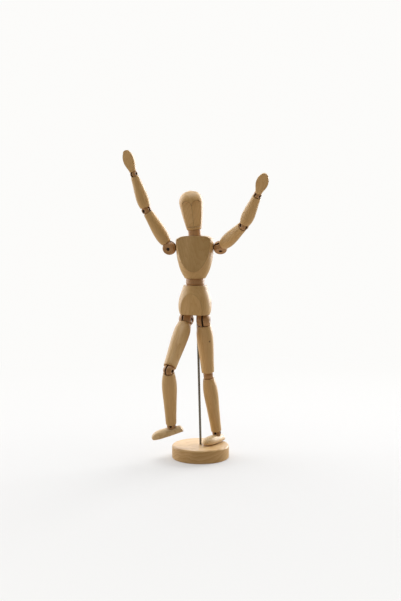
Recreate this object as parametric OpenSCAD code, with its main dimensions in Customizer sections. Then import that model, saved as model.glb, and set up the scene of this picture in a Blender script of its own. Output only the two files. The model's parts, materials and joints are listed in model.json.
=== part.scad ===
// Jointed wooden artist's mannequin on a round stand.
// The figure faces -Y, its own left side is towards +X, and +Z is up.
// The origin is the centre of the underside of the base. Millimetres.
// Vectors named "per side" hold the figure's right side first, then its left.

/* [Stand] */
// Diameter of the base disc
base_d = 63.4; // [56:0.5:70]
// Thickness of the base disc
base_h = 14.2; // [12:0.1:18]
// Radius that rounds the rim of the base
base_rim_r = 2; // [0.5:0.1:4]
// Diameter of the support rod
rod_d = 2.5; // [2:0.1:3]
// Sideways lean of the rod, towards -X
rod_lean = 1.4; // [0:0.1:2]
// Height of the pelvis underside above the table
pelvis_height = 160.7; // [159:0.1:170]

/* [Torso and head] */
// Height of the turned pelvis
pelvis_h = 32.1; // [30:0.1:34]
// Height of the turned chest, waist rim to collar
chest_h = 46.2; // [43:0.1:48]
// Height of the head, chin to crown
head_h = 42.6; // [40:0.1:46]
// Distance of each hip centre from the middle plane
hip_x = 9.8; // [9.6:0.1:10.2]
// Distance of each shoulder centre from the middle plane
shoulder_x = 27.85; // [27.7:0.05:29]
// Distance of the support rod behind the pelvis axis
rod_back = 9; // [8.5:0.1:10]

/* [Limb lengths, pivot to pivot] */
// Upper arm, shoulder pin to elbow pin
upper_arm_l = 48; // [46:0.1:52]
// Forearm, elbow pin to wrist pin
forearm_l = 40.6; // [38:0.1:44]
// Hand, wrist pin to fingertips
hand_l = 26.8; // [25:0.1:29]
// Thigh, hip pin to knee pin
thigh_l = 63.6; // [62:0.1:65]
// Shin, knee pin to ankle pin
shin_l = 68.8; // [67:0.1:70]
// Foot, ankle pin to toe
toe_l = 25; // [23:0.5:27]
// Foot, ankle pin to heel
heel_l = 11; // [9.5:0.5:12]

/* [Joint pieces] */
// Ball radius of the shoulder, elbow and wrist pieces
arm_ball_r = [7.7, 5.3, 4.1]; // [3.8:0.1:8]
// Half width of the shoulder, elbow and wrist pieces, along the pin
arm_ball_w = [4.95, 4.5, 3.4]; // [3.2:0.05:6]
// Ball radius of the hip, knee and ankle pieces
leg_ball_r = [8.3, 6.0, 4.9]; // [4.5:0.1:9]
// Half width of the hip, knee and ankle pieces, along the pin
leg_ball_w = [7.1, 5.0, 4.0]; // [3.8:0.05:7.5]
// Diameter of the large joint pins
pin_d = 1.8; // [1.4:0.1:2]
// Diameter of the wrist and ankle pins
small_pin_d = 1.4; // [1:0.1:1.6]
// Width of the slot that takes the spring hooks
slot_w = 1.7; // [1.6:0.05:2]
// Diameter of the spring wire
wire_d = 0.7; // [0.5:0.05:0.75]
// Depth of each slot past the centre of its pin
slot_past_pin = 2.2; // [2:0.1:3]
// Depth of the knee slots past the centre of the pin, so that a bent knee's hooks clear
knee_slot_back = 3.2; // [3:0.1:4]
// Clearance between a ball and its seat
seat_gap = 0.25; // [0.15:0.05:0.35]

/* [Pose of the torso] */
// Turn of the pelvis about the vertical
pelvis_turn = -17; // [-30:1:30]
// Sideways roll of the pelvis
pelvis_roll = 0.6; // [-3:0.1:3]
// Turn of the chest about the vertical
chest_turn = -7; // [-20:1:20]
// Sideways roll of the chest
chest_roll = -0.6; // [-4:0.1:4]
// Sideways roll of the head
head_roll = -6.5; // [-8:0.5:8]

/* [Pose of the limbs, sideways then forwards, from the vertical] */
// Right upper arm
right_upper_arm = [-31.1, 4.9]; // [-90:0.1:90]
// Left upper arm
left_upper_arm = [44.6, 45.3]; // [-90:0.1:90]
// Right forearm
right_forearm = [-18.6, 9.1]; // [-90:0.1:90]
// Left forearm
left_forearm = [22.3, 34.3]; // [-90:0.1:90]
// Right hand
right_hand = [-19, 9.8]; // [-90:0.1:90]
// Left hand
left_hand = [18, 39.9]; // [-90:0.1:90]
// Right thigh
right_thigh = [-19.9, 32.3]; // [-45:0.1:45]
// Left thigh
left_thigh = [4.9, -10.1]; // [-45:0.1:45]
// Right shin
right_shin = [1.6, -19.4]; // [-45:0.1:45]
// Left shin
left_shin = [8.1, -8.6]; // [-45:0.1:45]
// Direction that each toe points to, from straight ahead, per side
toe_heading = [-90, -34]; // [-120:1:120]
// Slope of each foot, toe down, per side
toe_drop = [17.3, 0]; // [-20:0.1:20]
// Sideways roll of each foot about its toe line, per side
foot_roll = [8, 0]; // [-15:1:15]
// Direction that each palm faces, from straight ahead, per side
palm_heading = [-22, -20]; // [-90:1:90]

/* [Direction of each pin, from straight ahead, per side] */
// Elbow pins
elbow_pin = [-44, -58]; // [-90:1:90]
// Wrist pins
wrist_pin = [55, 36]; // [-90:1:90]
// Hip pins
hip_pin = [58, 80]; // [-90:1:90]
// Knee pins
knee_pin = [52, 86]; // [-90:1:90]
// Ankle pins
ankle_pin = [-10, -24]; // [-90:1:90]

/* [Hidden] */
$fn = 48;

RIGHT = 0;
LEFT = 1;
BEECH = "burlywood";
JOINT_WOOD = "tan";
STEEL = "silver";

// --- Vectors and frames ---

function unit(v) = v / norm(v);
function square_to(v, axis) = unit(v - (v * axis) * axis);
function heading(a) = [sin(a), -cos(a), 0];
function upwards(pose) = [sin(pose[0]) * cos(pose[1]), -sin(pose[1]), cos(pose[0]) * cos(pose[1])];
function downwards(pose) = [sin(pose[0]) * cos(pose[1]), -sin(pose[1]), -cos(pose[0]) * cos(pose[1])];
function shift(v) = [[1, 0, 0, v[0]], [0, 1, 0, v[1]], [0, 0, 1, v[2]], [0, 0, 0, 1]];
function turn_z(a) = [[cos(a), -sin(a), 0, 0], [sin(a), cos(a), 0, 0], [0, 0, 1, 0], [0, 0, 0, 1]];
function turn_y(a) = [[cos(a), 0, sin(a), 0], [0, 1, 0, 0], [-sin(a), 0, cos(a), 0], [0, 0, 0, 1]];
function at(frame, p) = [for (i = [0:2]) (frame * [p[0], p[1], p[2], 1])[i]];
function along(frame, v) = at(frame, v) - at(frame, [0, 0, 0]);

// A frame with its origin at p, its Z along z and its X as near to x as it can be
function framed(p, z, x) =
    let (k = unit(z), i = square_to(x, k), j = cross(k, i))
    [[i[0], j[0], k[0], p[0]], [i[1], j[1], k[1], p[1]], [i[2], j[2], k[2], p[2]], [0, 0, 0, 1]];

// Radius at share t of a length, on a smooth curve through evenly spaced radii
function blend(p, q, r, s, f) = 0.5 * (2 * q + (r - p) * f + (2 * p - 5 * q + 4 * r - s) * f * f
    + (3 * q - p - 3 * r + s) * f * f * f);
function smooth(radii, t) =
    let (n = len(radii) - 1, i = min(floor(t * n), n - 1))
    blend(radii[max(i - 1, 0)], radii[i], radii[i + 1], radii[min(i + 2, n)], t * n - i);

// --- Torso frames ---

lip = 0.5;                       // rounding of turned edges
bore_gap = 0.05;                 // sliding clearance of the rod
rod_axis = [-sin(rod_lean), 0, cos(rod_lean)];
rod_seat_h = 24;                 // how far the rod reaches into the pelvis
rod_bottom_z = 3;                // how low the rod reaches into the base
rod_at_pelvis = rod_axis * (pelvis_height / cos(rod_lean)) + [0, 0, 0];
rod_foot_x = 0.1 + base_h * tan(rod_lean);
rod_shift = [rod_foot_x, 0, 0];

pelvis_up = turn_z(pelvis_turn) * turn_y(pelvis_roll);
pelvis_frame = shift(rod_shift + rod_at_pelvis - along(turn_z(pelvis_turn), [0, rod_back, 0])) * pelvis_up;
waist_drop = 4;                  // waist centre above the pelvis rim
waist_rise = 3.4;                // chest rim above the waist centre
waist_ball_r = 10.2;
waist_at = at(pelvis_frame, [0, 0, pelvis_h + waist_drop]);
chest_frame = shift(waist_at) * turn_z(chest_turn) * turn_y(chest_roll);
shoulder_z = 36.6;               // shoulder centres above the waist centre
neck_drop = 2.8;                 // neck centre above the collar
neck_rise = 3.5;                 // chin above the neck centre
neck_ball_r = 7.5;
neck_r = 6.95;
neck_z = waist_rise + chest_h + neck_drop;
head_frame = shift(at(chest_frame, [0, 0, neck_z])) * turn_y(head_roll);

// --- Limb pivots and frames ---

hip_z = -5.9;                    // hip centres below the pelvis underside
upper_arm_way = [upwards(right_upper_arm), upwards(left_upper_arm)];
forearm_way = [upwards(right_forearm), upwards(left_forearm)];
hand_way = [upwards(right_hand), upwards(left_hand)];
thigh_way = [downwards(right_thigh), downwards(left_thigh)];
shin_way = [downwards(right_shin), downwards(left_shin)];
foot_way = [for (s = [RIGHT, LEFT]) -foot_up(s)];
function toe_way(s) = heading(toe_heading[s]) * cos(toe_drop[s]) - [0, 0, sin(toe_drop[s])];
function level_up(s) = heading(toe_heading[s]) * sin(toe_drop[s]) + [0, 0, cos(toe_drop[s])];
function foot_up(s) = level_up(s) * cos(foot_roll[s]) + cross(level_up(s), toe_way(s)) * sin(foot_roll[s]);

shoulder_at = [at(chest_frame, [-shoulder_x, 0, shoulder_z]), at(chest_frame, [shoulder_x, 0, shoulder_z])];
elbow_at = shoulder_at + upper_arm_way * upper_arm_l;
wrist_at = elbow_at + forearm_way * forearm_l;
hip_at = [at(pelvis_frame, [-hip_x, 0, hip_z]), at(pelvis_frame, [hip_x, 0, hip_z])];
knee_at = hip_at + thigh_way * thigh_l;
ankle_at = knee_at + shin_way * shin_l;

shoulder_pin_hint = [[-0.34, -0.92, -0.2], [0, -0.55, -0.83]];
shoulder_pin_way = [for (s = [RIGHT, LEFT]) square_to(shoulder_pin_hint[s], upper_arm_way[s])];
elbow_pin_way = [for (s = [RIGHT, LEFT]) square_to(heading(elbow_pin[s]), forearm_way[s])];
wrist_pin_way = [for (s = [RIGHT, LEFT]) square_to(heading(wrist_pin[s]), hand_way[s])];
hip_pin_way = [for (s = [RIGHT, LEFT]) square_to(heading(hip_pin[s]), thigh_way[s])];
knee_pin_way = [for (s = [RIGHT, LEFT]) square_to(heading(knee_pin[s]), shin_way[s])];
ankle_pin_way = [for (s = [RIGHT, LEFT]) square_to(heading(ankle_pin[s]), foot_way[s])];

// Distance from a pin to the end faces of the wooden pieces beside it
shoulder_seat = 6.5;
elbow_seat = 3.3;
forearm_wrist_seat = 2.4;
hand_seat = 3.0;
thigh_hip_seat = 6.1;
knee_seat = 3.8;
shin_ankle_seat = 2.6;

// Radii of the turned limbs, evenly spaced from the end nearer the body
upper_arm_radii = [5.8, 7.0, 7.4, 7.3, 6.9, 6.3, 5.8, 5.4];
forearm_radii = [5.8, 6.65, 6.85, 6.55, 6.05, 5.45, 4.9, 4.5];
thigh_radii = [7.5, 8.8, 9.0, 8.7, 8.25, 7.7, 7.3, 7.0];
shin_radii = [6.4, 7.7, 8.05, 7.65, 7.05, 6.6, 6.1, 5.9];
limb_steps = 20;                 // outline steps along a turned limb

// --- Shared shapes ---

// A solid turned between two heights, with slightly rounded end edges
module turned(z0, z1, radii, steps = limb_steps) {
    first = radii[0];
    last = radii[len(radii) - 1];
    curve = [for (i = [1:steps - 1]) [smooth(radii, i / steps), z0 + (z1 - z0) * i / steps]];
    below = [[0, z0], [first - lip, z0], [first - 0.3 * lip, z0 + 0.3 * lip]];
    above = [[last - 0.3 * lip, z1 - 0.3 * lip], [last - lip, z1], [0, z1]];
    rotate_extrude() polygon(concat(below, curve, above));
}

// A spindle from one pin at z = 0 to the next at z = length, with a dish at each end and a spring bore
module limb(length, seats, radii, balls, bore_r) {
    difference() {
        turned(seats[0], length - seats[1], radii);
        sphere(r = balls[0] + seat_gap);
        translate([0, 0, length]) sphere(r = balls[1] + seat_gap);
        cylinder(r = bore_r, h = length);
    }
}

// A ball with two flat sides, drilled for its pin along X and slotted from +Y for the spring hooks
module joint_ball(ball_r, half_w, pin_r, slot_back = slot_past_pin) {
    head_r = 2.1 * pin_r;
    head_depth = 1.4;
    difference() {
        intersection() {
            sphere(r = ball_r);
            cube([2 * half_w, 2 * ball_r, 2 * ball_r], center = true);
        }
        rotate([0, 90, 0]) cylinder(r = pin_r, h = 2 * half_w + 1, center = true);
        for (m = [0, 1]) {
            mirror([m, 0, 0]) translate([half_w - head_depth, 0, 0]) rotate([0, 90, 0])
                cylinder(r = head_r, h = head_depth + 1);
        }
        translate([-slot_w / 2, -slot_back, -ball_r]) cube([slot_w, slot_back + ball_r, 2 * ball_r]);
    }
}

// A plain cross pin along X, a little shorter than the flat sides of its ball
module cross_pin(half_w, pin_r) {
    rotate([0, 90, 0]) cylinder(r = pin_r, h = 2 * (half_w - 1.7), center = true);
}

// A wire loop round a pin along X, with a straight leg along Z
module hook(pin_r, leg_l, side) {
    loop_r = pin_r + wire_d / 2 + 0.06;
    translate([side * (wire_d / 2 + 0.06), 0, 0]) {
        rotate([0, 90, 0]) rotate_extrude() translate([loop_r, 0]) circle(d = wire_d, $fn = 24);
        translate([0, 0, loop_r]) cylinder(d = wire_d, h = leg_l - loop_r, $fn = 24);
    }
}

// The coils of a tension spring between two heights, closed by a washer-like end turn
module coils(z0, z1, coil_r) {
    pitch = 2.2;
    count = max(2, floor((z1 - z0 - wire_d) / pitch));
    step = (z1 - z0 - wire_d) / count;
    rotate_extrude() union() {
        translate([coil_r - wire_d * 0.8, z0]) square([wire_d * 0.5, z1 - z0]);
        for (i = [0:count]) {
            translate([coil_r - wire_d / 2, z0 + wire_d / 2 + i * step]) circle(d = wire_d, $fn = 20);
        }
    }
    for (z = [z0, z1 - wire_d]) {
        translate([0, 0, z]) cylinder(r = coil_r - wire_d / 2, h = wire_d);
    }
}

// The spring of a limb: hooked on the pin at z = 0 and on the pin at z = length
module limb_spring(frame, length, seats, pin_rs, far_pin, coil_r) {
    near_end = seats[0] + 4;
    far_end = length - seats[1] - 4;
    multmatrix(frame) {
        coils(near_end, far_end, coil_r);
        hook(pin_rs[0], near_end + wire_d / 2, -1);
    }
    far_at = at(frame, [0, 0, length]);
    multmatrix(framed(far_at, square_to(along(frame, [0, 0, -1]), far_pin), far_pin))
        hook(pin_rs[1], length - far_end + wire_d / 2, 1);
}

// --- Stand ---

module base() {
    rim_x = base_d / 2 - base_rim_r;
    rim_z = base_h - base_rim_r;
    rim = [for (a = [0:15:90]) [rim_x + base_rim_r * cos(a), rim_z + base_rim_r * sin(a)]];
    edge = 0.6;
    foot_edge = [[0, 0], [base_d / 2 - edge, 0], [base_d / 2, edge]];
    color(BEECH) difference() {
        rotate_extrude($fn = 96) polygon(concat(foot_edge, rim, [[0, base_h]]));
        along_rod() cylinder(r = rod_d / 2 + bore_gap, h = base_h * 2);
    }
}

// Places children on the rod's axis, at the rod's lower end
module along_rod() {
    multmatrix(framed(rod_shift + rod_axis * rod_bottom_z, rod_axis, [1, 0, 0])) children();
}

rod_l = pelvis_height / cos(rod_lean) + rod_seat_h - rod_bottom_z;

module support_rod() {
    chamfer = 0.3;
    r = rod_d / 2;
    color(STEEL) along_rod() rotate_extrude()
        polygon([[0, 0], [r - chamfer, 0], [r, chamfer], [r, rod_l - chamfer], [r - chamfer, rod_l], [0, rod_l]]);
}

// --- Torso ---

pelvis_radii = [16.5, 17.5, 18.0, 18.0, 17.5, 16.6, 15.3, 13.9, 12.8];
chest_radii = [11.6, 13.9, 15.8, 17.2, 18.3, 19.2, 19.8, 20.2, 20.5, 20.7, 20.5];
collar_h = 2.6;                  // rise of the domed top of the chest
hip_bore_r = 2.8;
torso_bore_r = 3.2;
pelvis_pin_z = 13;
pelvis_pin_r = 1.1;
arch_tilt = 7.5;                 // slope of the flat on the front of the pelvis
breast_tilt = 9.5;               // slope of the flat on the front of the chest

module pelvis() {
    color(BEECH) difference() {
        multmatrix(pelvis_frame) difference() {
            turned(0, pelvis_h, pelvis_radii);
            translate([0, 0, pelvis_h + waist_drop]) sphere(r = waist_ball_r + seat_gap);
            for (x = [-hip_x, hip_x]) {
                translate([x, 0, hip_z]) sphere(r = leg_ball_r[0] + seat_gap);
                translate([x, 0, 0]) cylinder(r = hip_bore_r, h = pelvis_pin_z + 3);
            }
            translate([0, 0, pelvis_pin_z - 3]) cylinder(r = torso_bore_r, h = pelvis_h);
            translate([0, 0, pelvis_pin_z]) rotate([0, 90, 0]) cylinder(r = pelvis_pin_r, h = 60, center = true);
            front_flat(12.4, arch_tilt, pelvis_h);
        }
        along_rod() cylinder(r = rod_d / 2 + bore_gap, h = rod_l);
    }
}

// A block that planes the front of a turned piece: depth from the axis at z = 0, leaning by tilt
module front_flat(depth, tilt, height) {
    translate([0, -depth, 0]) rotate([tilt, 0, 0]) translate([-30, -30, -height]) cube([60, 30, 3 * height]);
}

module pelvis_pin() {
    color(STEEL) multmatrix(pelvis_frame) translate([0, 0, pelvis_pin_z]) rotate([0, 90, 0])
        cylinder(r = pelvis_pin_r, h = 31, center = true);
}

module hip_springs() {
    coil_r = hip_bore_r - 0.4;
    top = pelvis_pin_z - 3.4;
    color(STEEL) for (s = [RIGHT, LEFT]) {
        x = s == LEFT ? hip_x : -hip_x;
        multmatrix(pelvis_frame) {
            translate([x, 0, 0]) coils(3.4, top, coil_r);
            translate([x, 0, pelvis_pin_z]) rotate([180, 0, 0]) hook(pelvis_pin_r, pelvis_pin_z - top + wire_d / 2, 0);
        }
        multmatrix(framed(hip_at[s], square_to(along(pelvis_frame, [0, 0, 1]), hip_pin_way[s]), hip_pin_way[s]))
            hook(pin_d / 2, 3.4 - hip_z + wire_d / 2, 1);
    }
}

module waist_ball() {
    flat_z = 7.6;
    color(JOINT_WOOD) multmatrix(shift(waist_at) * pelvis_up) difference() {
        intersection() {
            sphere(r = waist_ball_r);
            cylinder(r = waist_ball_r - 0.2, h = 2 * flat_z, center = true);
        }
        cylinder(r = torso_bore_r + 0.4, h = 3 * flat_z, center = true);
    }
}

// Hooked on the pelvis pin below, and screwed into the chest's bore above
module waist_spring() {
    coil_r = torso_bore_r - 0.15;
    foot = -pelvis_h - waist_drop + pelvis_pin_z;
    color(STEEL) {
        multmatrix(shift(waist_at) * pelvis_up) {
            coils(foot + 4, 0.5, coil_r - 0.3);
            translate([0, 0, foot]) hook(pelvis_pin_r, 4 + wire_d / 2, 0);
        }
        multmatrix(chest_frame) coils(0, 20, coil_r - 0.1);
    }
}

module chest() {
    side_seat_x = 19.9;
    side_seat_r = 4.4;
    arm_bore_r = 3.3;
    top = waist_rise + chest_h;
    shoulder_top = top - collar_h;
    dome = [for (i = [0:6]) let (a = 90 * i / 6) [7 + 11.3 * cos(a), shoulder_top + collar_h * sin(a)]];
    side_h = shoulder_top - 2.2 - waist_rise;
    side = [for (i = [0:24]) [smooth(chest_radii, i / 24), waist_rise + lip + side_h * i / 24]];
    corner = [for (a = [20:20:80]) [18.3 + 2.2 * cos(a), waist_rise + side_h + lip + 1.7 * sin(a)]];
    waist_rim = [[0, waist_rise], [chest_radii[0] - lip, waist_rise]];
    color(BEECH) multmatrix(chest_frame) difference() {
        rotate_extrude() polygon(concat(waist_rim, side, corner, dome, [[0, top]]));
        sphere(r = waist_ball_r + seat_gap);
        translate([0, 0, neck_z]) sphere(r = neck_ball_r + seat_gap);
        cylinder(r = torso_bore_r, h = 22);
        translate([0, 0, top - 8]) cylinder(r = 2.6, h = 10);
        translate([0, 0, shoulder_z]) rotate([0, 90, 0]) cylinder(r = arm_bore_r, h = 60, center = true);
        for (m = [0, 1]) {
            mirror([m, 0, 0]) translate([side_seat_x, 0, shoulder_z]) rotate([0, 90, 0])
                cylinder(r = side_seat_r, h = 10);
        }
        front_flat(17.05, -breast_tilt, top);
    }
}

// One spring through the chest pulls both shoulder balls onto their seats
module shoulder_spring() {
    reach = 17;
    color(STEEL) {
        multmatrix(chest_frame) translate([0, 0, shoulder_z]) rotate([0, 90, 0]) coils(-reach, reach, 2.4);
        for (s = [RIGHT, LEFT]) {
            inwards = along(chest_frame, [s == LEFT ? -1 : 1, 0, 0]);
            multmatrix(framed(shoulder_at[s], square_to(inwards, shoulder_pin_way[s]), shoulder_pin_way[s]))
                hook(pin_d / 2, shoulder_x - reach + wire_d / 2, 1);
        }
    }
}

module neck_bead() {
    color(JOINT_WOOD) multmatrix(head_frame) difference() {
        intersection() {
            sphere(r = neck_ball_r);
            cylinder(r = neck_r, h = 11, center = true);
        }
        cylinder(r = 3.1, h = 20, center = true);
    }
}

// Screwed into the chest's collar bore below and the head's bore above
module neck_spring() {
    color(STEEL) {
        multmatrix(head_frame) coils(-0.5, 17, 2.3);
        multmatrix(chest_frame) coils(neck_z - 10.4, neck_z + 0.5, 2.35);
    }
}

// The egg-shaped head, with two long flats that meet in a ridge down the face
module head() {
    low = neck_rise;
    crown = neck_rise + head_h;
    steps = 26;
    egg = [for (i = [1:steps - 1]) [head_outline(i / steps), low + head_h * i / steps]];
    color(BEECH) multmatrix(head_frame) difference() {
        rotate_extrude($fn = 64) polygon(concat([[0, low], [head_outline(0) - lip, low]], egg, [[0, crown]]));
        sphere(r = neck_ball_r + seat_gap);
        cylinder(r = 2.6, h = neck_rise + 16);
        for (side = [-1, 1]) {
            face_flat(side);
        }
    }
}

// Half width of the head at share t of its height: a taper from the chin into a half ellipse
function head_outline(t) =
    let (widest = 0.71, r = 13.1, chin = 7.9)
    t > widest ? r * sqrt(max(0, 1 - pow((t - widest) / (1 - widest), 2)))
    : chin + (r - chin) * (0.35 * sin(90 * t / widest) + 0.65 * t / widest);

// The cutter for one side of the face: a leaning flat from the chin up to a round arch under the brow
module face_flat(side) {
    face_turn = 20;
    face_lean = 9.6;
    face_in = 6.3;
    arch_r = 5.6;
    arch_mid = 1.7;
    arch_z = 26;
    chin_z = 3.2;
    depth = 12;
    rotate([0, 0, side * face_turn]) translate([0, -face_in, neck_rise]) rotate([face_lean, 0, 0]) {
        translate([-10, -depth, chin_z]) cube([20, depth, arch_z - chin_z]);
        translate([side * arch_mid, 0, arch_z]) rotate([90, 0, 0]) cylinder(r = arch_r, h = depth);
    }
}

// --- Arms ---

arm_spring_r = 2.3;

// Places a joint ball: X along its pin, Z midway between its two limbs, and its slot open to the
// front, or to the back when mouth_sign is -1
module place_ball(p, pin, parent_way, child_way, mouth_sign = 1) {
    z = square_to(child_way - parent_way, pin);
    y = cross(z, pin);
    mouth = mouth_sign * (y[1] < 0 ? y : -y);
    multmatrix(framed(p, cross(pin, mouth), pin)) children();
}

module shoulder_ball(s) {
    inwards = along(chest_frame, [s == LEFT ? -1 : 1, 0, 0]);
    color(JOINT_WOOD) place_ball(shoulder_at[s], shoulder_pin_way[s], inwards, upper_arm_way[s])
        joint_ball(arm_ball_r[0], arm_ball_w[0], pin_d / 2);
}

module shoulder_pin(s) {
    color(STEEL) multmatrix(framed(shoulder_at[s], upper_arm_way[s], shoulder_pin_way[s]))
        cross_pin(arm_ball_w[0], pin_d / 2);
}

module upper_arm(s) {
    color(BEECH) multmatrix(framed(shoulder_at[s], upper_arm_way[s], shoulder_pin_way[s]))
        limb(upper_arm_l, [shoulder_seat, elbow_seat], upper_arm_radii,
            [arm_ball_r[0], arm_ball_r[1]], arm_spring_r + 0.5);
}

module upper_arm_spring(s) {
    color(STEEL) limb_spring(framed(shoulder_at[s], upper_arm_way[s], shoulder_pin_way[s]), upper_arm_l,
        [shoulder_seat, elbow_seat], [pin_d / 2, pin_d / 2], elbow_pin_way[s], arm_spring_r);
}

module elbow_ball(s) {
    color(JOINT_WOOD) place_ball(elbow_at[s], elbow_pin_way[s], -upper_arm_way[s], forearm_way[s])
        joint_ball(arm_ball_r[1], arm_ball_w[1], pin_d / 2);
}

module elbow_pin_piece(s) {
    color(STEEL) multmatrix(framed(elbow_at[s], forearm_way[s], elbow_pin_way[s]))
        cross_pin(arm_ball_w[1], pin_d / 2);
}

module forearm(s) {
    color(BEECH) multmatrix(framed(elbow_at[s], forearm_way[s], elbow_pin_way[s]))
        limb(forearm_l, [elbow_seat, forearm_wrist_seat], forearm_radii,
            [arm_ball_r[1], arm_ball_r[2]], arm_spring_r + 0.2);
}

module forearm_spring(s) {
    color(STEEL) limb_spring(framed(elbow_at[s], forearm_way[s], elbow_pin_way[s]), forearm_l,
        [elbow_seat, forearm_wrist_seat], [pin_d / 2, small_pin_d / 2], wrist_pin_way[s], arm_spring_r - 0.3);
}

module wrist_ball(s) {
    color(JOINT_WOOD) place_ball(wrist_at[s], wrist_pin_way[s], -forearm_way[s], hand_way[s])
        joint_ball(arm_ball_r[2], arm_ball_w[2], small_pin_d / 2);
}

module wrist_pin_piece(s) {
    color(STEEL) multmatrix(framed(wrist_at[s], hand_way[s], wrist_pin_way[s]))
        cross_pin(arm_ball_w[2], small_pin_d / 2);
}

hand_radii = [3.7, 4.1, 4.9, 5.7, 6.2, 6.3, 6.0, 5.2, 3.7];
hand_stem_l = 12;

// A turned drop with one side planed into a flat palm
module hand(s) {
    palm_depth = 3.9;
    palm_lean = 9;
    tip = 2.2;
    color(BEECH) difference() {
        multmatrix(framed(wrist_at[s], hand_way[s], heading(palm_heading[s] + 90))) difference() {
            rotate_extrude() polygon(concat([[0, hand_seat]],
                [for (i = [0:12]) [smooth(hand_radii, i / 12), hand_seat + (hand_l - tip - hand_seat) * i / 12]],
                [for (a = [20:20:80]) [3.7 * cos(a), hand_l - tip + tip * sin(a)]], [[0, hand_l]]));
            sphere(r = arm_ball_r[2] + seat_gap);
            translate([-15, -palm_depth, hand_seat]) rotate([-palm_lean, 0, 0]) translate([0, -20, 0])
                cube([30, 20, 40]);
        }
        multmatrix(framed(wrist_at[s], hand_way[s], wrist_pin_way[s])) stem_hole(hand_stem_l);
    }
}

module hand_hook(s) {
    color(STEEL) multmatrix(framed(wrist_at[s], hand_way[s], wrist_pin_way[s])) wire_eye(hand_stem_l);
}

eye_shift = -(wire_d / 2 + 0.06);    // a wire eye sits beside the spring hook on the same pin

// A wire eye round a small pin, on a stem that is glued into the hand or foot
module wire_eye(stem_l) {
    loop_r = small_pin_d / 2 + wire_d / 2 + 0.06;
    translate([eye_shift, 0, 0]) {
        rotate([0, 90, 0]) rotate_extrude() translate([loop_r, 0]) circle(d = wire_d, $fn = 24);
        translate([0, 0, loop_r]) cylinder(d = wire_d, h = stem_l - loop_r - 0.2, $fn = 24);
    }
}

module stem_hole(stem_l) {
    translate([eye_shift, 0, 0]) cylinder(d = wire_d + 0.1, h = stem_l);
}

// --- Legs ---

leg_spring_r = 2.6;

module hip_ball(s) {
    color(JOINT_WOOD) place_ball(hip_at[s], hip_pin_way[s], along(pelvis_frame, [0, 0, 1]), thigh_way[s])
        joint_ball(leg_ball_r[0], leg_ball_w[0], pin_d / 2);
}

module hip_pin_piece(s) {
    color(STEEL) multmatrix(framed(hip_at[s], thigh_way[s], hip_pin_way[s])) cross_pin(leg_ball_w[0], pin_d / 2);
}

module thigh(s) {
    color(BEECH) multmatrix(framed(hip_at[s], thigh_way[s], hip_pin_way[s]))
        limb(thigh_l, [thigh_hip_seat, knee_seat], thigh_radii, [leg_ball_r[0], leg_ball_r[1]], leg_spring_r + 0.5);
}

module thigh_spring(s) {
    color(STEEL) limb_spring(framed(hip_at[s], thigh_way[s], hip_pin_way[s]), thigh_l,
        [thigh_hip_seat, knee_seat], [pin_d / 2, pin_d / 2], knee_pin_way[s], leg_spring_r);
}

module knee_ball(s) {
    color(JOINT_WOOD) place_ball(knee_at[s], knee_pin_way[s], -thigh_way[s], shin_way[s], s == LEFT ? -1 : 1)
        joint_ball(leg_ball_r[1], leg_ball_w[1], pin_d / 2, knee_slot_back);
}

module knee_pin_piece(s) {
    color(STEEL) multmatrix(framed(knee_at[s], shin_way[s], knee_pin_way[s])) cross_pin(leg_ball_w[1], pin_d / 2);
}

module shin(s) {
    color(BEECH) multmatrix(framed(knee_at[s], shin_way[s], knee_pin_way[s]))
        limb(shin_l, [knee_seat, shin_ankle_seat], shin_radii, [leg_ball_r[1], leg_ball_r[2]], leg_spring_r + 0.3);
}

module shin_spring(s) {
    color(STEEL) limb_spring(framed(knee_at[s], shin_way[s], knee_pin_way[s]), shin_l,
        [knee_seat, shin_ankle_seat], [pin_d / 2, small_pin_d / 2], ankle_pin_way[s], leg_spring_r - 0.2);
}

module ankle_ball(s) {
    color(JOINT_WOOD) place_ball(ankle_at[s], ankle_pin_way[s], -shin_way[s], foot_way[s])
        joint_ball(leg_ball_r[2], leg_ball_w[2], small_pin_d / 2);
}

module ankle_pin_piece(s) {
    color(STEEL) multmatrix(framed(ankle_at[s], foot_way[s], ankle_pin_way[s]))
        cross_pin(leg_ball_w[2], small_pin_d / 2);
}

foot_sole = 9.2;                 // ankle pin to sole
foot_stem_l = 8;
toe_round = 13;                  // length of the rounded front of the foot

// Radius of the turned foot at a distance x in front of the ankle pin
function foot_radius(x) =
    let (r = 6.8, heel_r = 4.5, widest = toe_l - toe_round)
    x > widest ? r * sqrt(max(0, 1 - pow((x - widest) / toe_round, 2.4)))
    : heel_r + (r - heel_r) * sin(90 * (x + heel_l) / (widest + heel_l));

// Half of a turned egg, toe towards +X, planed flat underneath and cut off at a slant behind the heel
module foot_shape() {
    sole_below_axis = 1.2;
    heel_slant = 20;
    steps = 28;
    reach = toe_l + heel_l;
    outline = [for (i = [0:steps]) [foot_radius(reach * i / steps - heel_l), reach * i / steps - heel_l]];
    difference() {
        translate([0, 0, sole_below_axis - foot_sole]) rotate([0, 90, 0])
            rotate_extrude() polygon(concat([[0, -heel_l]], outline));
        translate([-30, -30, -foot_sole - 20]) cube([60, 60, 20]);
        translate([-heel_l, 0, -foot_sole]) rotate([0, heel_slant, 0]) translate([-20, -20, -5]) cube([20, 40, 30]);
    }
}

module foot(s) {
    color(BEECH) difference() {
        multmatrix(framed(ankle_at[s], -foot_way[s], toe_way(s))) difference() {
            foot_shape();
            sphere(r = leg_ball_r[2] + seat_gap);
        }
        multmatrix(framed(ankle_at[s], foot_way[s], ankle_pin_way[s])) stem_hole(foot_stem_l);
    }
}

module foot_hook(s) {
    color(STEEL) multmatrix(framed(ankle_at[s], foot_way[s], ankle_pin_way[s])) wire_eye(foot_stem_l);
}

// --- Nodes ---

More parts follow.
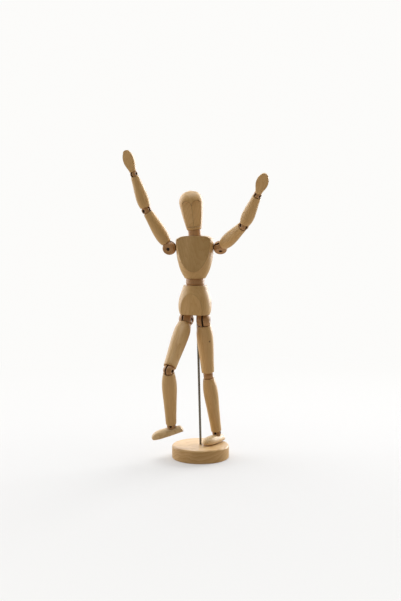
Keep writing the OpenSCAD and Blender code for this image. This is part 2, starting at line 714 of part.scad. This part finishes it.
base();
support_rod();
pelvis();
pelvis_pin();
hip_springs();
waist_ball();
waist_spring();
chest();
shoulder_spring();
neck_bead();
neck_spring();
head();
shoulder_ball(RIGHT);  // right_shoulder_ball
shoulder_pin(RIGHT);  // right_shoulder_pin
upper_arm(RIGHT);  // right_upper_arm
upper_arm_spring(RIGHT);  // right_upper_arm_spring
elbow_ball(RIGHT);  // right_elbow_ball
elbow_pin_piece(RIGHT);  // right_elbow_pin
forearm(RIGHT);  // right_forearm
forearm_spring(RIGHT);  // right_forearm_spring
wrist_ball(RIGHT);  // right_wrist_ball
wrist_pin_piece(RIGHT);  // right_wrist_pin
hand(RIGHT);  // right_hand
hand_hook(RIGHT);  // right_hand_hook
shoulder_ball(LEFT);  // left_shoulder_ball
shoulder_pin(LEFT);  // left_shoulder_pin
upper_arm(LEFT);  // left_upper_arm
upper_arm_spring(LEFT);  // left_upper_arm_spring
elbow_ball(LEFT);  // left_elbow_ball
elbow_pin_piece(LEFT);  // left_elbow_pin
forearm(LEFT);  // left_forearm
forearm_spring(LEFT);  // left_forearm_spring
wrist_ball(LEFT);  // left_wrist_ball
wrist_pin_piece(LEFT);  // left_wrist_pin
hand(LEFT);  // left_hand
hand_hook(LEFT);  // left_hand_hook
hip_ball(RIGHT);  // right_hip_ball
hip_pin_piece(RIGHT);  // right_hip_pin
thigh(RIGHT);  // right_thigh
thigh_spring(RIGHT);  // right_thigh_spring
knee_ball(RIGHT);  // right_knee_ball
knee_pin_piece(RIGHT);  // right_knee_pin
shin(RIGHT);  // right_shin
shin_spring(RIGHT);  // right_shin_spring
ankle_ball(RIGHT);  // right_ankle_ball
ankle_pin_piece(RIGHT);  // right_ankle_pin
foot(RIGHT);  // right_foot
foot_hook(RIGHT);  // right_foot_hook
hip_ball(LEFT);  // left_hip_ball
hip_pin_piece(LEFT);  // left_hip_pin
thigh(LEFT);  // left_thigh
thigh_spring(LEFT);  // left_thigh_spring
knee_ball(LEFT);  // left_knee_ball
knee_pin_piece(LEFT);  // left_knee_pin
shin(LEFT);  // left_shin
shin_spring(LEFT);  // left_shin_spring
ankle_ball(LEFT);  // left_ankle_ball
ankle_pin_piece(LEFT);  // left_ankle_pin
foot(LEFT);  // left_foot
foot_hook(LEFT);  // left_foot_hook
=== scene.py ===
"""Looks, light and camera of the jointed wooden mannequin.

Lengths are in metres, except where a name or a comment says mm.
"""
import math

import bpy
import bmesh
from mathutils import Euler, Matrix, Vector
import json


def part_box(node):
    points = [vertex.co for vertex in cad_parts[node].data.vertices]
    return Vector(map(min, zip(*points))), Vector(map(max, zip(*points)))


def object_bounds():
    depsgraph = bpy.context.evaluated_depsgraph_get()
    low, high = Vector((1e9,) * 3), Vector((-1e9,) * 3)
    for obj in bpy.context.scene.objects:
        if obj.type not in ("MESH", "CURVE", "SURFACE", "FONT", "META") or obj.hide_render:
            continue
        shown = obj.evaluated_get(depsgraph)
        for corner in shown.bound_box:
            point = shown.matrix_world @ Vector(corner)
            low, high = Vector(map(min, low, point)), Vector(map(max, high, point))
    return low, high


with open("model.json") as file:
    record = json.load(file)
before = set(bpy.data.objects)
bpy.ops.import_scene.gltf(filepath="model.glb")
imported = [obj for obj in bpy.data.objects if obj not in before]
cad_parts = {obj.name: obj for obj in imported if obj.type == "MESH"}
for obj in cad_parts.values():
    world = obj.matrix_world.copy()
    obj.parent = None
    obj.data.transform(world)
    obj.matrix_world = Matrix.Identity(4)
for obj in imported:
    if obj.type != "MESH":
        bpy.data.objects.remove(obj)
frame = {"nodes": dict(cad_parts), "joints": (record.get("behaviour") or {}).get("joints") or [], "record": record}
cad_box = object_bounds()

MM = 0.001
SIDES = ("right", "left")

# ---------------------------------------------------------------- node helpers


class Graph:
    """Adds shader nodes to one node tree and links them."""

    def __init__(self, tree):
        self.tree = tree

    def node(self, kind, **settings):
        made = self.tree.nodes.new(kind)
        for key, value in settings.items():
            setattr(made, key, value)
        return made

    def link(self, a, b):
        self.tree.links.new(a, b)

    def feed(self, socket, value):
        """Links a socket to a node's output, or sets it to a number or a vector."""
        if isinstance(value, bpy.types.NodeSocket):
            self.link(value, socket)
        else:
            socket.default_value = value

    def math(self, op, *values):
        made = self.node("ShaderNodeMath", operation=op)
        for socket, value in zip(made.inputs, values):
            self.feed(socket, value)
        return made.outputs[0]

    def vector(self, op, *values):
        """A vector sum or product, or the number of a DOT_PRODUCT, LENGTH or DISTANCE."""
        made = self.node("ShaderNodeVectorMath", operation=op)
        for socket, value in zip(made.inputs, values):
            self.feed(socket, value)
        return made.outputs["Value" if op in ("DOT_PRODUCT", "LENGTH", "DISTANCE") else 0]

    def noise(self, vector, scale, detail=2.0, rough=0.5):
        made = self.node("ShaderNodeTexNoise")
        made.inputs["Scale"].default_value = scale
        made.inputs["Detail"].default_value = detail
        made.inputs["Roughness"].default_value = rough
        self.link(vector, made.inputs["Vector"])
        return made.outputs["Fac"]

    def centred(self, value, middle, gain):
        """(value - middle) * gain"""
        return self.math("MULTIPLY", self.math("SUBTRACT", value, middle), gain)

    def smooth_step(self, value, low, high):
        """Rises smoothly from 0 at low to 1 at high."""
        made = self.node("ShaderNodeMapRange", interpolation_type="SMOOTHSTEP")
        made.inputs["From Min"].default_value = low
        made.inputs["From Max"].default_value = high
        self.link(value, made.inputs["Value"])
        return made.outputs["Result"]

    def ramp(self, fac, stops):
        made = self.node("ShaderNodeValToRGB")
        for element, (pos, color) in zip(made.color_ramp.elements, stops):
            element.position = pos
            element.color = (*color, 1)
        self.link(fac, made.inputs["Fac"])
        return made.outputs["Color"]

    def mix(self, fac, a, b, blend="MIX"):
        """Colour a at 0 and colour b at 1."""
        made = self.node("ShaderNodeMix", data_type="RGBA", blend_type=blend)
        self.feed(made.inputs[0], fac)
        for socket, color in ((made.inputs[6], a), (made.inputs[7], b)):
            self.feed(socket, (*color, 1) if isinstance(color, tuple) else color)
        return made.outputs[2]

    def mix_shader(self, fac, a, b):
        made = self.node("ShaderNodeMixShader")
        for socket, value in zip(made.inputs, (fac, a, b)):
            self.link(value, socket)
        return made.outputs[0]

    def bevel_normal(self, radius_mm, samples):
        """The surface normal with every edge rounded."""
        made = self.node("ShaderNodeBevel", samples=samples)
        made.inputs["Radius"].default_value = radius_mm * MM
        return made.outputs["Normal"]


def new_material(name):
    mat = bpy.data.materials.new(name)
    mat.use_nodes = True
    return mat, Graph(mat.node_tree), mat.node_tree.nodes["Principled BSDF"]


def scaled(color, factor):
    return tuple(factor * c for c in color)


# ---------------------------------------------------------------- camera

CAM_DISTANCE = 0.990
CAM_PITCH = math.radians(4.9)
CAM_TARGET_Z = 0.1751
LENS_MM = 53.91
SENSOR_MM = (24, 36)            # width and height


def add_camera():
    data = bpy.data.cameras.new("camera")
    data.sensor_fit = "VERTICAL"
    data.sensor_width, data.sensor_height = SENSOR_MM
    data.lens = LENS_MM
    data.clip_start = 0.01
    camera = bpy.data.objects.new("camera", data)
    back = CAM_DISTANCE * math.cos(CAM_PITCH)
    rise = CAM_DISTANCE * math.sin(CAM_PITCH)
    camera.location = (0, -back, CAM_TARGET_Z + rise)
    camera.rotation_euler = (math.radians(90) - CAM_PITCH, 0, 0)
    bpy.context.collection.objects.link(camera)
    bpy.context.scene.camera = camera


add_camera()

# ---------------------------------------------------------------- floor, room and lights

PAPER_WHITE = (0.975, 0.97, 0.955)
FLOOR_HALF_WIDTH = 60
# Distances from the stand over which the lit floor fades to plain white
FLOOR_FADE = (-0.35, 0.75)
AIM = (0, 0, 0.18)

# name: place, aim, width and height, power in watts
SOFT_BOXES = {
    "left_box": ((-1.0, 0.45, 0.5), AIM, (1.5, 1.4), 12),
    "right_box": ((1.1, 1.05, 0.6), AIM, (1.0, 1.3), 27),
    "top_box": ((0.05, -0.1, 1.3), (0, 0, 0.1), (1.3, 1.1), 10),
    "back_box": ((0.1, 1.6, 0.55), (0, 0, 0.12), (1.6, 0.8), 4),
}


def floor_material():
    """White paper that takes light and shadow near the stand and fades to plain white further out.

    It is seen white, but what it throws back onto the wood is dimmer and warmer.
    """
    mat, g, paper = new_material("floor_white")
    paper.inputs["Roughness"].default_value = 0.8
    paper.inputs["Specular IOR Level"].default_value = 0.1
    white = g.node("ShaderNodeEmission")
    seen = g.node("ShaderNodeLightPath").outputs["Is Camera Ray"]
    g.link(g.mix(seen, (0.56, 0.47, 0.36), (0.66, 0.66, 0.665)), paper.inputs["Base Color"])
    g.link(g.mix(seen, (0.56, 0.49, 0.40), PAPER_WHITE), white.inputs["Color"])
    distance = g.vector("LENGTH", g.node("ShaderNodeTexCoord").outputs["Object"])
    faded = g.mix_shader(g.smooth_step(distance, *FLOOR_FADE), paper.outputs[0], white.outputs[0])
    g.link(faded, mat.node_tree.nodes["Material Output"].inputs["Surface"])
    return mat


def add_floor():
    mesh = bpy.data.meshes.new("floor")
    bm = bmesh.new()
    bmesh.ops.create_grid(bm, x_segments=2, y_segments=2, size=FLOOR_HALF_WIDTH)
    bm.to_mesh(mesh)
    bm.free()
    mesh.materials.append(floor_material())
    floor = bpy.data.objects.new("floor", mesh)
    bpy.context.collection.objects.link(floor)


def add_room():
    """A room that is seen plain white, and lights the figure from behind but hardly from the front."""
    world = bpy.data.worlds.new("studio")
    world.use_nodes = True
    bpy.context.scene.world = world
    g = Graph(world.node_tree)
    seen = world.node_tree.nodes["Background"]
    seen.inputs["Color"].default_value = (*PAPER_WHITE, 1)
    seen.inputs["Strength"].default_value = 1.0
    room = g.node("ShaderNodeBackground")
    way = g.node("ShaderNodeSeparateXYZ")
    g.link(g.node("ShaderNodeTexCoord").outputs["Generated"], way.inputs[0])
    behind = g.smooth_step(way.outputs["Y"], -0.2, 0.7)
    g.link(g.mix(behind, (0.09, 0.075, 0.055), (0.92, 0.93, 0.94)), room.inputs["Color"])
    rays = g.node("ShaderNodeLightPath")
    either = g.mix_shader(rays.outputs["Is Camera Ray"], room.outputs[0], seen.outputs[0])
    g.link(either, world.node_tree.nodes["World Output"].inputs["Surface"])


def add_soft_box(name, place, aim, size, power):
    data = bpy.data.lights.new(name, "AREA")
    data.shape = "RECTANGLE"
    data.size, data.size_y = size
    data.energy = power
    light = bpy.data.objects.new(name, data)
    light.location = place
    light.rotation_euler = (Vector(aim) - Vector(place)).to_track_quat("-Z", "Y").to_euler()
    bpy.context.collection.objects.link(light)


add_floor()
add_room()
for box_name, settings in SOFT_BOXES.items():
    add_soft_box(box_name, *settings)
bpy.context.scene.view_settings.view_transform = "Standard"
bpy.context.scene.view_settings.look = "None"

# ---------------------------------------------------------------- wood

# Colour of the early wood and of the late rings
WOODS = {
    "body": ((0.66, 0.43, 0.18), (0.48, 0.26, 0.085)),
    "joint": ((0.50, 0.27, 0.105), (0.33, 0.15, 0.05)),
    "foot": ((0.84, 0.62, 0.34), (0.48, 0.26, 0.085)),
}
BLOTCH_COLOR = (0.40, 0.20, 0.07)
# Painted shade for the inside of the slots and pin holes of the joint balls
RECESS_SHADE_COLOR = (0.035, 0.018, 0.008)
SPOT_COLOR = (0.10, 0.05, 0.02)
# Painted shade along the edges round the planed flats
EDGE_SHADE_COLOR = (0.16, 0.08, 0.03)
SLOT_HALF_MM = 0.9
PIN_HOLE_MM = 2.2               # radius
SEED_STEP_MM = 37.0             # each piece is cut from another place along the same log


def grain_space(g, place, origin, grain_dir, pith, seed):
    """Coordinates in mm whose Z axis is the pith axis: the grain runs along it and the rings are round it."""
    mapping = g.node("ShaderNodeMapping", vector_type="TEXTURE")
    mapping.inputs["Location"].default_value = origin
    mapping.inputs["Rotation"].default_value = grain_dir.to_track_quat("Z", "Y").to_euler()
    mapping.inputs["Scale"].default_value = (MM, MM, MM)
    g.link(place, mapping.inputs["Vector"])
    return g.vector("ADD", mapping.outputs["Vector"], (*pith, seed * SEED_STEP_MM))


def late_wood(g, local, long, ring_mm):
    """Rises from 0 to 1 over each growth ring, with the rings a little uneven."""
    parts = g.node("ShaderNodeSeparateXYZ")
    g.link(local, parts.inputs[0])
    x, y = parts.outputs["X"], parts.outputs["Y"]
    radius = g.math("SQRT", g.math("ADD", g.math("MULTIPLY", x, x), g.math("MULTIPLY", y, y)))
    wobble = g.centred(g.noise(long, 0.16, 3), 0.5, 7.0)
    phase = g.math("DIVIDE", g.math("ADD", radius, wobble), ring_mm)
    return g.math("POWER", g.math("FRACT", phase), 2.2)


def with_recess_shade(g, color, place, recess):
    """Paints shade onto the walls of the slot and the pin hole of a joint ball, where shade falls inside them.

    recess is the pin's middle, its direction, and the radius and half width of the ball in mm.
    """
    pin_at, pin_way, ball_r, half_w = recess
    from_pin = g.vector("SUBTRACT", place, pin_at)
    aside = g.math("ABSOLUTE", g.vector("DOT_PRODUCT", from_pin, pin_way))
    far = g.vector("LENGTH", from_pin)
    off_squared = g.math("SUBTRACT", g.math("MULTIPLY", far, far), g.math("MULTIPLY", aside, aside))
    off_axis = g.math("SQRT", g.math("MAXIMUM", off_squared, 0.0))
    near_middle = g.math("LESS_THAN", aside, SLOT_HALF_MM * MM)
    in_slot = g.math("MULTIPLY", near_middle, g.math("LESS_THAN", far, (ball_r - 0.35) * MM))
    below_side = g.math("LESS_THAN", aside, (half_w - 0.1) * MM)
    in_hole = g.math("MULTIPLY", below_side, g.math("LESS_THAN", off_axis, PIN_HOLE_MM * MM))
    # painted shade: the slot and pin-hole walls are darkened
    return g.mix(g.math("MULTIPLY", g.math("MAXIMUM", in_slot, in_hole), 0.85), color, RECESS_SHADE_COLOR)


def with_spot(g, color, place, spot_at, spot_r):
    """Adds a small dark mark at a point, with a radius in mm."""
    distance = g.vector("DISTANCE", place, spot_at)
    mark = g.smooth_step(distance, spot_r * 1.5 * MM, spot_r * 0.6 * MM)
    return g.mix(g.math("MULTIPLY", mark, 0.85), color, SPOT_COLOR)


def with_flat_shade(g, color, normal, planed):
    """Paints shade onto flats toned below 1 and light onto flats toned above 1, and paints shade along the edges
    round them.

    planed is the directions of the flats, their painted tone (below 1 painted shade, above 1 painted light), and
    the strength of the painted edge shade.
    """
    ways, tone, edge_shade = planed
    on_flat = 0.0
    for way in ways:
        facing = g.vector("DOT_PRODUCT", normal, way)
        on_flat = g.math("MAXIMUM", on_flat, g.math("GREATER_THAN", facing, 0.9998))
    # painted shade where the tone is below 1, painted light where it is above 1: each flat is toned as a whole
    color = g.mix(on_flat, color, g.mix(1.0, color, (tone, tone, tone), "MULTIPLY"))
    # painted shade along the edges, where the rounded normal bends away from the true one
    true_normal = g.node("ShaderNodeNewGeometry").outputs["Normal"]
    bend = g.vector("DOT_PRODUCT", g.bevel_normal(0.7, 4), true_normal)
    edge = g.smooth_step(g.math("SUBTRACT", 1.0, bend), 0.0005, 0.012)
    return g.mix(g.math("MULTIPLY", edge, edge_shade), color, EDGE_SHADE_COLOR)


def wood(name, origin, grain_dir, seed, colors, pith,
         ring_mm=1.7, late_share=0.42, recess=None, spots=(), planed=None):
    """Fine sanded beech. The grain runs along grain_dir, with the pith axis pith mm beside origin.

    late_share is how strongly the late rings show. recess, spots and planed are as in with_recess_shade,
    with_spot and with_flat_shade.
    """
    light, dark = colors
    mat, g, bsdf = new_material(name)
    coord = g.node("ShaderNodeTexCoord")
    place = coord.outputs["Object"]
    local = grain_space(g, place, origin, grain_dir, pith, seed)
    long = g.vector("MULTIPLY", local, (1, 1, 0.12))
    fine = g.vector("MULTIPLY", local, (1, 1, 0.035))

    late = late_wood(g, local, long, ring_mm)
    streak = g.noise(fine, 1.6, 4, 0.65)
    pores = g.math("GREATER_THAN", g.noise(fine, 5.5, 1), 0.70)
    blotch = g.centred(g.noise(local, 0.11, 3), 0.5, 0.35)
    stops = [(0.3, tuple(c + 0.06 for c in light)), (0.7, scaled(light, 0.86))]
    color = g.ramp(g.noise(long, 0.07, 2), stops)
    color = g.mix(g.math("MULTIPLY", late, late_share), color, dark)
    color = g.mix(g.centred(streak, 0.45, 0.6), color, scaled(dark, 0.8))
    color = g.mix(g.math("MULTIPLY", pores, 0.10), color, scaled(dark, 0.55))
    color = g.mix(g.math("MAXIMUM", blotch, 0.0), color, BLOTCH_COLOR)
    # painted shade inside the slots and pin holes of the joint balls
    if recess:
        color = with_recess_shade(g, color, place, recess)
    for spot_at, spot_r in spots:
        color = with_spot(g, color, place, spot_at, spot_r)
    # painted shade and light on the planed flats, and painted shade along their edges
    if planed:
        color = with_flat_shade(g, color, coord.outputs["Normal"], planed)
    g.link(color, bsdf.inputs["Base Color"])

    g.link(g.math("ADD", 0.38, g.centred(streak, 0.5, 0.18)), bsdf.inputs["Roughness"])
    bsdf.inputs["Specular IOR Level"].default_value = 0.5
    bump = g.node("ShaderNodeBump")
    bump.inputs["Strength"].default_value = 0.05
    bump.inputs["Distance"].default_value = 0.08 * MM
    height = g.math("SUBTRACT", g.math("MULTIPLY", streak, 0.5), g.math("MULTIPLY", late, 0.10))
    g.link(height, bump.inputs["Height"])
    g.link(g.bevel_normal(1.2, 8), bump.inputs["Normal"])
    g.link(bump.outputs["Normal"], bsdf.inputs["Normal"])
    return mat


# ---------------------------------------------------------------- steel


def steel(name, grey, roughness=0.32):
    """Drawn steel with fine lines along Z."""
    mat, g, bsdf = new_material(name)
    stretch = g.node("ShaderNodeMapping")
    stretch.inputs["Scale"].default_value = (900, 900, 60)
    g.link(g.node("ShaderNodeTexCoord").outputs["Object"], stretch.inputs["Vector"])
    lines = g.noise(stretch.outputs["Vector"], 1.0, 3)
    color = g.ramp(lines, [(0.3, (grey * 0.85,) * 3), (0.7, (grey * 1.1,) * 3)])
    g.link(color, bsdf.inputs["Base Color"])
    bsdf.inputs["Metallic"].default_value = 1.0
    g.link(g.math("ADD", roughness - 0.08, g.math("MULTIPLY", lines, 0.16)), bsdf.inputs["Roughness"])
    return mat


# ---------------------------------------------------------------- which piece gets what

joint_by_child = {j["child"]: j for j in frame["joints"]}
slot_of = {s["node"]: s["material_slot"] for s in frame["record"]["subparts"]}

# Joint at the near end and at the far end of each turned limb
LIMBS = {
    "upper_arm": ("shoulder", "elbow"),
    "forearm": ("elbow", "wrist"),
    "thigh": ("hip", "knee"),
    "shin": ("knee", "ankle"),
}
# Body that the pin of each joint ball carries, and the ball's radius and half width in mm
BALLS = {
    "shoulder_ball": ("upper_arm", 7.7, 4.95),
    "elbow_ball": ("forearm", 5.3, 4.5),
    "wrist_ball": ("hand", 4.1, 3.4),
    "hip_ball": ("thigh", 8.3, 7.1),
    "knee_ball": ("shin", 6.0, 5.0),
    "ankle_ball": ("foot", 4.9, 4.0),
}
THIGH_SPOT_SHARE = 0.37         # how far down the left thigh its dark mark is
THIGH_SPOT_ASIDE = Vector((0.0046, -0.0074, 0))


def pivot(child):
    return Vector(joint_by_child[child]["pos_m"])


def flat_way(lean, *turns):
    """Direction of a flat that faces -Y, leans about X and is then turned by eulers, all in degrees."""
    way = Vector((0, -1, 0))
    for turn in ((lean, 0, 0),) + turns:
        way.rotate(Euler([math.radians(a) for a in turn]))
    return way


# Directions of the planed flats of each piece, their painted tone (the chest's down-leaning flat painted darker as
# shade, the pelvis and head flats painted lighter as light), and the strength of the painted shade along their
# edges
FLATS = {
    "chest": ([flat_way(-9.5, (0, -0.6, 0), (0, 0, -7))], 0.82, 0.3),
    "pelvis": ([flat_way(7.5, (0, 0.6, 0), (0, 0, -17))], 1.08, 0.4),
    "head": ([flat_way(9.6, (0, 0, 20 * s), (0, -6.5, 0)) for s in (-1, 1)], 1.05, 0.7),
}


def grain_of(name, side, kind):
    """Direction of the grain of a wooden piece, and a point on its axis."""
    low, high = (Vector(v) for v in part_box(name))
    middle = (low + high) / 2
    if kind in LIMBS:
        near, far = (pivot(f"{side}_{joint}") for joint in LIMBS[kind])
        return far - near, near
    if kind == "hand":
        wrist = pivot(side + "_wrist")
        return middle - wrist, wrist
    if kind == "foot":
        along = middle - pivot(side + "_ankle")
        along.z = 0
        return along, middle
    if kind.endswith("_ball"):
        return Vector((0.3, 1, 0.2)), middle
    return Vector((0, 0, 1)), middle


def wood_for(name, index):
    side, _, rest = name.partition("_")
    kind = rest if side in SIDES else name
    grain, origin = grain_of(name, side, kind)
    # The pith is beside each piece, at a place of its own: 6 to 16 mm one way and 3 to 11 mm the other
    extra = {"pith": (6 + (index * 7) % 11, 3 + (index * 5) % 9), "planed": FLATS.get(name)}
    # Joint balls get painted shade in their slot and pin hole
    if kind in BALLS:
        carried, ball_r, half_w = BALLS[kind]
        pin_way = Vector(joint_by_child[f"{side}_{carried}"]["axis"])
        extra["recess"] = (pivot(f"{side}_{carried}"), pin_way, ball_r, half_w)
    if name == "base":
        grain = Vector((0.93, 0.30, 0.20))
        extra.update(pith=(16, 24), ring_mm=3.4, late_share=0.62)
    if name == "left_thigh":
        on_axis = pivot("left_hip").lerp(pivot("left_knee"), THIGH_SPOT_SHARE)
        extra["spots"] = [(on_axis + THIGH_SPOT_ASIDE, 0.95)]
    shade = "joint" if slot_of[name] == "joint_beech" else "foot" if kind == "foot" else "body"
    return wood("beech_" + name, origin, grain.normalized(), index + 1, WOODS[shade], **extra)


steel_wire = steel("steel_wire", 0.30)
# Blackened steel pins, set nearly black partly as painted shade for the dark pin holes
pin_blackened_and_shaded = steel("pin_blackened_and_shaded", 0.05, 0.55)
rod_steel = steel("rod_steel", 0.20, 0.25)


def steel_for(name):
    if name == "support_rod":
        return rod_steel
    return pin_blackened_and_shaded if name.endswith("_pin") else steel_wire


for index, name in enumerate(frame["nodes"]):
    materials = frame["nodes"][name].data.materials
    materials.clear()
    materials.append(steel_for(name) if slot_of[name] == "steel" else wood_for(name, index))

if cad_box:
    import json
